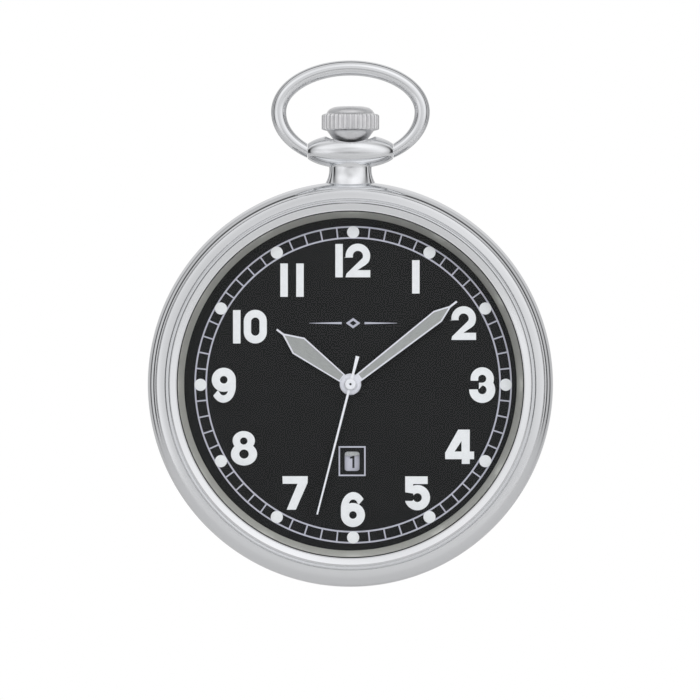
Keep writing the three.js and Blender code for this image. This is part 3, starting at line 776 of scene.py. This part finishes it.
def crown():
    """The crown: a plain cone below, a fluted band with round-ended teeth, and a smooth low cap."""
    teeth, samples = 32, 14
    groove, ridge = CROWN_RADIUS - 0.27, 0.27
    foot, top = CROWN_FOOT, CROWN_TOP
    rows = [(0, 30.4, 0), (1.34, 30.4, 0), (1.36, 30.36, 0), (1.36, foot + 0.04, 0), (1.4, foot, 0),
            (1.71, foot, 0), (1.77, foot + 0.03, 0), (2.02, foot + 0.36, 0), (2.28, foot + 0.7, 0),
            (2.53, foot + 1.04, 0),
            (2.78, 30.02, 0), (2.9, 30.06, 0.2), (3.02, 30.12, 0.65), (groove, 30.2, 0.93),
            (groove, 30.3, 1), (groove, 31.0, 1), (groove, 31.7, 1), (groove - 0.01, 31.84, 0.95),
            (groove - 0.04, 31.94, 0.75), (groove - 0.12, 32.0, 0.4), (groove - 0.22, 32.04, 0.1),
            (2.84, 32.06, 0), (2.8, 32.16, 0), (2.73, 32.28, 0), (2.62, 32.43, 0), (2.46, 32.58, 0),
            (2.24, 32.71, 0), (1.95, top - 0.12, 0), (1.55, top - 0.05, 0), (0.9, top - 0.015, 0),
            (0, top, 0)]
    columns = teeth * samples
    points = []
    for radius, height, share in rows:
        for j in range(columns):
            turn = 2 * math.pi * j / columns
            wave = 0.5 + 0.5 * math.cos(turn * teeth)
            out = radius + share * ridge * (1 - (1 - wave) ** 2.2)
            points.append((out * math.cos(turn), out * math.sin(turn), height))
    faces = [
        (i * columns + j, i * columns + (j + 1) % columns, (i + 1) * columns + (j + 1) % columns,
         (i + 1) * columns + j)
        for i in range(len(rows) - 1)
        for j in range(columns)
    ]
    mesh = bpy.data.meshes.new("crown")
    mesh.from_pydata(points, [], faces)
    return clean_mesh(mesh)


piece("pendant_body", pendant(), STEEL, "case", "polished_steel", "pendant", sharp=35, weighted=False)
piece("bow_ring", bow(), BOW_STEEL, "bow", "polished_steel", "bow", sharp=40)
piece("crown_fluted", crown(), CROWN_STEEL, "crown", "crown_steel", "crown", sharp=60, weighted=False)

# ---- dial and its printing ----


def window_loop(grow=0.0):
    half_width = WINDOW["width"] / 2 + grow
    half_height = WINDOW["height"] / 2 + grow
    corner = WINDOW["corner"] + grow
    loop = []
    for x, z, start in ((1, 1, 0), (-1, 1, 90), (-1, -1, 180), (1, -1, 270)):
        centre = (WINDOW_SHIFT + x * (half_width - corner), z * (half_height - corner) - WINDOW["below"])
        loop += arc(centre, corner, start, start + 90, 8)
    return loop


FIGURES = {
    "0": [
        arc((1.365, 2.64), (1.365, 1.35), 0, 180) + arc((1.365, 1.35), (1.365, 1.35), 180, 360),
        arc((1.365, 2.57), (0.495, 0.5), 0, 180) + arc((1.365, 1.42), (0.495, 0.5), 180, 360),
    ],
    "1": [[(0, 0), (0.89, 0), (0.89, 3.95), (0, 3.95)]],
    "2": [
        [(0, 0), (2.93, 0), (2.93, 0.85), (1.43, 0.85), (2.42, 1.5)]
        + arc((1.463, 2.53), 1.46, -33, 188, 26)
        + [(0, 2.33), (0.88, 2.33)]
        + arc((1.463, 2.53), 0.6, 180, -25, 18)
        + [(0.1, 0.42)],
    ],
    "3": [
        [(0, 1.56)]
        + arc((1.534, 1.52), 1.52, 178, 392, 28)
        + arc((1.534, 2.817), 1.36, -20, 188, 26)
        + [(1.03, 2.62)]
        + arc((1.534, 2.84), 0.49, 190, -90, 20)
        + [(1.164, 2.354), (1.164, 1.653), (1.534, 2.05)]
        + arc((1.534, 1.52), 0.53, 80, -180, 20)
        + [(0.97, 1.56)],
    ],
    "4": [
        [(0, 0.56), (1.96, 0.56), (1.96, 0), (2.91, 0), (2.91, 0.56), (3.42, 0.56), (3.42, 1.47),
         (2.91, 1.47), (2.91, 4.06), (1.54, 4.06), (0, 1.33)],
        [(1.93, 2.70), (1.93, 1.47), (1.12, 1.47)],
    ],
    "5": [
        [(0.04, 2.14), (0.04, 4.03), (2.7, 4.03), (2.7, 3.12), (0.98, 3.12), (0.98, 2.92)]
        + arc((1.483, 1.51), 1.5, 108, -165.3, 30)
        + [(0.91, 1.12)]
        + arc((1.483, 1.51), 0.52, -155, 150, 24)
        + [(0.98, 2.0)],
    ],
    "6": [
        arc((1.427, 1.427), 1.427, 108.9, -180, 30)
        + arc((1.47, 2.17), (1.47, 1.97), 180, 35, 22)
        + [(2.126, 2.657)]
        + arc((1.46, 2.66), (0.52, 0.6), 20, 165, 12),
        arc((1.427, 1.427), 0.45, 0, 345, 20),
    ],
    "7": [[(0.03, 3.07), (1.79, 3.07), (0.5, 0), (1.59, 0), (2.98, 3.17), (3.0, 3.97), (0, 3.97)]],
    "8": [
        arc((1.55, 1.35), (1.55, 1.35), 135, 405, 30)
        + arc((1.52, 2.94), (1.32, 1.14), -35, 215, 28),
        arc((1.55, 1.36), (0.56, 0.54), 0, 345, 20),
        arc((1.52, 2.9), (0.44, 0.42), 0, 345, 20),
    ],
}
FIGURES["9"] = [[(2.9 - x, 4.14 - z) for x, z in loop] for loop in FIGURES["6"]]
FIGURE_WIDTHS = {"0": 2.73, "1": 0.89, "2": 2.93, "3": 3.08, "4": 3.42, "5": 2.98, "6": 2.87, "7": 3.0,
                 "8": 3.1, "9": 2.9}

# The date ring's narrower figure one, with a flag.
DATE_ONE = [[(0.78, 0), (1.42, 0), (1.42, 3.95), (0.98, 3.95), (0.8, 3.5), (0.05, 3.2), (0.05, 2.75),
             (0.78, 2.85)]]

# Each printed figure: its sign, and the lower left corner of its outline.
HOUR_FIGURES = [
    ("1", -2.11, 12.72), ("2", -0.90, 12.72), ("1", 6.975, 10.80), ("2", 11.615, 5.31),
    ("3", 13.74, -2.12), ("4", 10.89, -9.36), ("5", 6.12, -14.86), ("6", -1.45, -16.83),
    ("7", -8.37, -14.78), ("8", -14.46, -9.55), ("9", -16.78, -2.12), ("1", -14.215, 4.89),
    ("0", -12.94, 4.89), ("1", -8.615, 10.41), ("1", -6.735, 10.41),
]


def dial_plate():
    loops = [circle(DIAL_RADIUS, RING_SIDES), window_loop(0.03), circle(0.7)]
    return plate(loops, DIAL_FRONT, DIAL_BACK, 0.05, 3)


def hour_figures():
    meshes = [
        plate(placed(FIGURES[sign], (x, z)), DIAL_FRONT - PRINT, DIAL_FRONT + 0.01, 0.02)
        for sign, x, z in HOUR_FIGURES
    ]
    return joined(*meshes)


def minute_track():
    """Two thin rings with a stroke for each minute between the hours."""
    inner, outer, line = 17.39, 18.69, 0.19
    front, back = DIAL_FRONT - 0.035, DIAL_FRONT + 0.01
    rings = [
        plate([circle(radius + side * line / 2, RING_SIDES) for side in (1, -1)], front, back, 0.01, 1)
        for radius in (inner, outer)
    ]
    low, high = inner + 0.08, outer - 0.08
    stroke = [(-0.085, low), (0.085, low), (0.085, high), (-0.085, high)]
    strokes = [placed([stroke], (0, 0), turn=6.0 * minute)[0] for minute in range(60) if minute % 5]
    return joined(*rings, plate(strokes, front + 0.004, back, 0.008, 1))


def hour_dots():
    size, distance = 0.72, 18.06
    dots = [
        circle(size, 48, (distance * math.sin(angle), distance * math.cos(angle)))
        for angle in (math.radians(30 * hour) for hour in range(12))
    ]
    return plate(dots, DIAL_FRONT - 0.06, DIAL_FRONT + 0.01, 0.025, 3)


def date_frame():
    left, right, low, high, line = -1.6, 1.6, -10.87, -7.33, 0.18
    outside = [(left, low), (right, low), (right, high), (left, high)]
    inside = [
        (left + line, low + line), (right - line, low + line), (right - line, high - line),
        (left + line, high - line),
    ]
    return plate([outside, inside], DIAL_FRONT - 0.04, DIAL_FRONT + 0.01, 0.012, 1)


def ornament():
    """A lozenge between two tapered lines, above the centre."""
    height = 7.3
    loops = [[(-0.85, height), (0, height - 0.62), (0.85, height), (0, height + 0.62)],
             [(-0.42, height), (0, height + 0.3), (0.42, height), (0, height - 0.3)]]
    for side in (-1, 1):
        loops.append([
            (side * 1.35, height - 0.13), (side * 5.2, height - 0.02),
            (side * 5.2, height + 0.02), (side * 1.35, height + 0.13),
        ])
    return plate(loops, DIAL_FRONT - 0.04, DIAL_FRONT + 0.01, 0.01, 1)


piece("dial_plate", dial_plate(), LACQUER, "case", "dial_black", "dial")
piece("hour_figures", moved(hour_figures(), PRINT_SHIFT), FIGURE_INK, "case", "hand_metal")
piece("minute_track", moved(minute_track(), PRINT_SHIFT), TRACK_INK, "case", "hand_metal")
piece("hour_dots", moved(hour_dots(), PRINT_SHIFT), FIGURE_INK, "case", "hand_metal")
piece("date_frame", moved(date_frame(), (WINDOW_SHIFT, 0, 0)), TRACK_INK, "case", "hand_metal")
piece("dial_ornament", moved(ornament(), PRINT_SHIFT), TRACK_INK, "case", "hand_metal")


def date_figures():
    """The figures 1 to 31 on the date ring, each upright when it stands in the window."""
    size = 0.4
    meshes = []
    for day in range(1, 32):
        signs = str(day)
        gap = 0.45
        widths = [1.42 if sign == "1" else FIGURE_WIDTHS[sign] for sign in signs]
        width = sum(widths) + gap * (len(signs) - 1)
        squeeze = size if len(signs) == 1 else size * 0.62
        x = WINDOW_SHIFT - width * squeeze / 2
        turn = (day - 1) * 360 / 31
        for sign, wide in zip(signs, widths):
            shape = DATE_ONE if sign == "1" else FIGURES[sign]
            loops = placed(shape, (x, -WINDOW["below"] - 2 * squeeze), squeeze)
            turned_loops = placed(loops, (0, 0), turn=turn)
            meshes.append(plate(turned_loops, DATE_FRONT - 0.012, DATE_FRONT + 0.004))
            x += (wide + gap) * squeeze
    return joined(*meshes)


piece("date_figures", date_figures(), BLACK_INK_AND_SHADE, "date_ring", "date_white")

# ---- hands ----


def blade(half):
    """A closed outline from the half of it on the right."""
    return half + [(-x, z) for x, z in reversed(half)]


def framed_hand(half, inlay, hub, bore, node, angle):
    """A hand's rim with its inlaid face: half outlines drawn upright, then turned to the time shown."""
    low, high = corners(node)
    front, back = low.y, high.y
    edge = half[0][0]
    start = math.degrees(math.atan2(math.sqrt(hub ** 2 - edge ** 2), edge))
    outside = half[1:] + [(-x, z) for x, z in reversed(half[1:])]
    outside += arc((0, 0), hub, 180 - start, 360 + start, 40)
    rim = plate([outside, blade(inlay), circle(bore)], front, back, 0.035, 3)
    inner = [(x + 0.03 * (x > 0), z) for x, z in inlay]
    face = plate([blade(inner)], front + 0.05, back - 0.02)
    return moved(rim, turn=angle), moved(face, turn=angle)


HAND_SHAPES = {
    "hour_hand": {
        "half": [(0.54, 0.9), (1.18, 7.65), (0.12, 9.9), (0.12, 10.87)],
        "inlay": [(0.4, 1.36), (0.99, 7.6), (0.03, 9.62)],
        "hub": 1.27, "bore": 0.67, "angle": HOUR_ANGLE, "body": "hours",
    },
    "minute_hand": {
        "half": [(0.5, 0.9), (0.8, 13.1), (0.12, 14.9), (0.12, 15.94)],
        "inlay": [(0.32, 1.5), (0.62, 13.02), (0.03, 14.62)],
        "hub": 1.15, "bore": 0.38, "angle": MINUTE_ANGLE, "body": "minutes",
    },
}
for node, shape in HAND_SHAPES.items():
    rim, face = framed_hand(
        shape["half"], shape["inlay"], shape["hub"], shape["bore"], node, shape["angle"]
    )
    piece(f"{node}_rim", rim, RIM_SILVER, shape["body"], "hand_metal", node)
    piece(f"{node}_inlay", face, hand_face(f"{node}_face", shape["angle"]), shape["body"], "hand_metal")


def seconds_hand():
    """The seconds hand: a boss with a dimple, a fine needle and a short tail that widens."""
    low, high = corners("seconds_hand")
    front, back = low.y + 0.23, low.y + 0.35
    boss = turned(softened([
        (0, low.y + 0.1), (0.11, low.y + 0.1), (0.16, low.y, 0.03), (0.58, low.y, 0.06),
        (0.73, low.y + 0.14, 0.06), (0.73, high.y, 0.02), (0.14, high.y), (0.14, high.y - 0.1),
        (0, high.y - 0.1),
    ]), 96)
    outline = [(0.22, -3.42), (0.14, -1.2), (0.2, -0.6), (0.2, 0.6), (0.135, 1.2), (0.1, 15.88)]
    needle = plate([blade(outline)], front, back, 0.02)
    return moved(joined(boss, needle), turn=SECONDS_ANGLE)


piece("seconds_needle", seconds_hand(), NEEDLE_SILVER, "seconds", "hand_metal", "seconds_hand")
# A black disc inside the seconds boss's dimple: painted shade for the dark of the hollow, not print.
piece(
    "seconds_dimple_shade",
    turned([(0, corners("seconds_hand")[0].y + 0.07), (0.13, corners("seconds_hand")[0].y + 0.07),
            (0.13, corners("seconds_hand")[0].y + 0.11), (0, corners("seconds_hand")[0].y + 0.11)], 32),
    BLACK_INK_AND_SHADE, "seconds", "hand_metal",
)

# ---- floor, light and camera ----

FLOOR_DROP = 0.04
FLOOR_RADIUS = 0.45


def pale_floor():
    centre = (cad_low + cad_high) / 2
    made = bmesh.new()
    bmesh.ops.create_circle(made, cap_ends=True, segments=128, radius=FLOOR_RADIUS)
    mesh = bpy.data.meshes.new("pale_floor")
    made.to_mesh(mesh)
    made.free()
    floor = bpy.data.objects.new("pale_floor", mesh)
    floor.location = (centre.x, centre.y, cad_low.z - FLOOR_DROP)
    bpy.context.scene.collection.objects.link(floor)
    paper = bpy.data.materials.new("paper")
    paper.use_nodes = True
    nodes, links = paper.node_tree.nodes, paper.node_tree.links
    shader = nodes["Principled BSDF"]
    shader.inputs["Base Color"].default_value = (0.66, 0.66, 0.66, 1)
    shader.inputs["Roughness"].default_value = 0.8
    place = nodes.new("ShaderNodeTexCoord")
    length = nodes.new("ShaderNodeVectorMath")
    length.operation = "LENGTH"
    links.new(place.outputs["Object"], length.inputs[0])
    fade = nodes.new("ShaderNodeMapRange")
    fade.interpolation_type = "SMOOTHSTEP"
    fade.inputs["From Min"].default_value = FLOOR_RADIUS * 0.25
    fade.inputs["From Max"].default_value = FLOOR_RADIUS * 0.98
    links.new(length.outputs["Value"], fade.inputs["Value"])
    clear = nodes.new("ShaderNodeBsdfTransparent")
    mix = nodes.new("ShaderNodeMixShader")
    links.new(fade.outputs["Result"], mix.inputs[0])
    links.new(shader.outputs[0], mix.inputs[1])
    links.new(clear.outputs[0], mix.inputs[2])
    links.new(mix.outputs[0], nodes["Material Output"].inputs["Surface"])
    mesh.materials.append(paper)


# How bright the studio is at each angle from the watch's front axis, in degrees, out to the sides,
# upwards and downwards: broad soft boxes with narrow dark flags between them.
STUDIO_SIDES = [
    (0, 0.75), (14, 0.82), (30, 0.95), (50, 0.85), (66, 0.55), (73, 0.04), (81, 0.04), (86, 0.65),
    (94, 0.75), (98, 0.08), (106, 0.08), (110, 0.65), (122, 0.6), (127, 0.1), (133, 0.1), (138, 0.6),
    (180, 0.6),
]
STUDIO_ABOVE = [
    (0, 0.75), (20, 0.75), (34, 1.0), (57, 1.05), (64, 0.8), (92, 0.8), (97, 0.1), (107, 0.1),
    (112, 0.7), (180, 0.7),
]
STUDIO_BELOW = [
    (0, 0.75), (14, 0.5), (26, 0.38), (34, 0.5), (39, 1.0), (50, 1.0), (57, 0.6), (80, 0.6),
    (95, 0.5), (99, 0.1), (107, 0.1), (112, 0.6), (180, 0.6),
]


def studio():
    """A white backdrop for the camera, and a studio of soft boxes and dark flags for everything else."""
    world = bpy.data.worlds.new("studio")
    world.use_nodes = True
    nodes, links = world.node_tree.nodes, world.node_tree.links

    def worked_out(operation, *values):
        return math_node(world.node_tree, operation, *values)

    def lights_at(share, levels):
        ramp = nodes.new("ShaderNodeValToRGB")
        stops = ramp.color_ramp.elements
        stops[0].position, stops[1].position = 0, 1
        for degrees, light in levels[1:-1]:
            stops.new(degrees / 180).color = (light, light, light * 1.01, 1)
        for stop, (_, light) in ((stops[0], levels[0]), (stops[-1], levels[-1])):
            stop.color = (light, light, light * 1.01, 1)
        links.new(share, ramp.inputs[0])
        return ramp.outputs["Color"]

    def blended(factor, first, second):
        mix = nodes.new("ShaderNodeMix")
        mix.data_type = "RGBA"
        links.new(factor, mix.inputs["Factor"])
        links.new(first, mix.inputs[6])
        links.new(second, mix.inputs[7])
        return mix.outputs[2]

    place = nodes.new("ShaderNodeTexCoord")
    split = nodes.new("ShaderNodeSeparateXYZ")
    links.new(place.outputs["Generated"], split.inputs[0])
    x, y, z = split.outputs
    share = worked_out("DIVIDE", worked_out("ARCCOSINE", worked_out("MULTIPLY", y, -1.0)), math.pi)
    across = worked_out("MULTIPLY", x, x)
    upright = worked_out("MULTIPLY", z, z)
    whole = worked_out("MAXIMUM", worked_out("ADD", across, upright), 1e-6)
    sideways = worked_out("DIVIDE", across, whole)
    height = worked_out("DIVIDE", z, worked_out("SQRT", whole))
    raised = worked_out("ADD", worked_out("MULTIPLY", height, 1.2), 0.5)
    overhead = worked_out("SMOOTH_MAX", raised, 0.0, 0.2)
    upright_light = blended(
        worked_out("MINIMUM", overhead, 1.0),
        lights_at(share, STUDIO_BELOW),
        lights_at(share, STUDIO_ABOVE),
    )
    light = blended(sideways, upright_light, lights_at(share, STUDIO_SIDES))
    soft = nodes["Background"]
    links.new(light, soft.inputs["Color"])
    uneven = nodes.new("ShaderNodeTexNoise")
    uneven.inputs["Scale"].default_value = 1.6
    uneven.inputs["Detail"].default_value = 1.0
    links.new(place.outputs["Generated"], uneven.inputs["Vector"])
    level = nodes.new("ShaderNodeMapRange")
    level.inputs["From Min"].default_value = 0.35
    level.inputs["From Max"].default_value = 0.65
    level.inputs["To Min"].default_value = 0.85
    level.inputs["To Max"].default_value = 1.08
    links.new(uneven.outputs["Fac"], level.inputs["Value"])
    links.new(level.outputs["Result"], soft.inputs["Strength"])
    white = nodes.new("ShaderNodeBackground")
    white.inputs["Color"].default_value = (1, 1, 1, 1)
    seen = nodes.new("ShaderNodeLightPath")
    mix = nodes.new("ShaderNodeMixShader")
    links.new(seen.outputs["Is Camera Ray"], mix.inputs[0])
    links.new(soft.outputs[0], mix.inputs[1])
    links.new(white.outputs[0], mix.inputs[2])
    links.new(mix.outputs[0], nodes["World Output"].inputs["Surface"])
    bpy.context.scene.world = world


def soft_box(name, place, size, watts):
    """A square area light turned to the watch, which no polished surface mirrors."""
    light = bpy.data.lights.new(name, "AREA")
    light.size = size
    light.energy = watts
    lamp = bpy.data.objects.new(name, light)
    centre = (cad_low + cad_high) / 2
    lamp.location = centre + Vector(place)
    lamp.visible_glossy = False
    lamp.rotation_mode = "QUATERNION"
    lamp.rotation_quaternion = (-Vector(place)).to_track_quat("-Z", "Y")
    bpy.context.scene.collection.objects.link(lamp)


CAMERA_DISTANCE = 0.9
VIEW_WIDTH = 0.08296
VIEW_CENTRE_X = -0.00005
VIEW_CENTRE_Z = 0.00405
SENSOR = 36.0

pale_floor()
studio()
soft_box("key_light", (-0.08, -0.6, 0.42), 0.35, 1.6)
soft_box("fill_light", (0.35, -0.5, 0.1), 0.35, 0.9)
soft_box("top_light", (0.0, 0.1, 0.6), 0.5, 0.4)

camera_data = bpy.data.cameras.new("camera")
camera_data.sensor_width = SENSOR
camera_data.lens = CAMERA_DISTANCE * SENSOR / VIEW_WIDTH
camera_data.clip_start = 0.05
camera_data.clip_end = 5
camera = bpy.data.objects.new("camera", camera_data)
camera.location = DIAL_CENTRE + Vector((VIEW_CENTRE_X, -CAMERA_DISTANCE, VIEW_CENTRE_Z))
camera.rotation_euler = (math.pi / 2, 0, 0)
bpy.context.scene.collection.objects.link(camera)
bpy.context.scene.camera = camera
bpy.context.scene.view_settings.view_transform = "Standard"

bpy.context.view_layer.update()
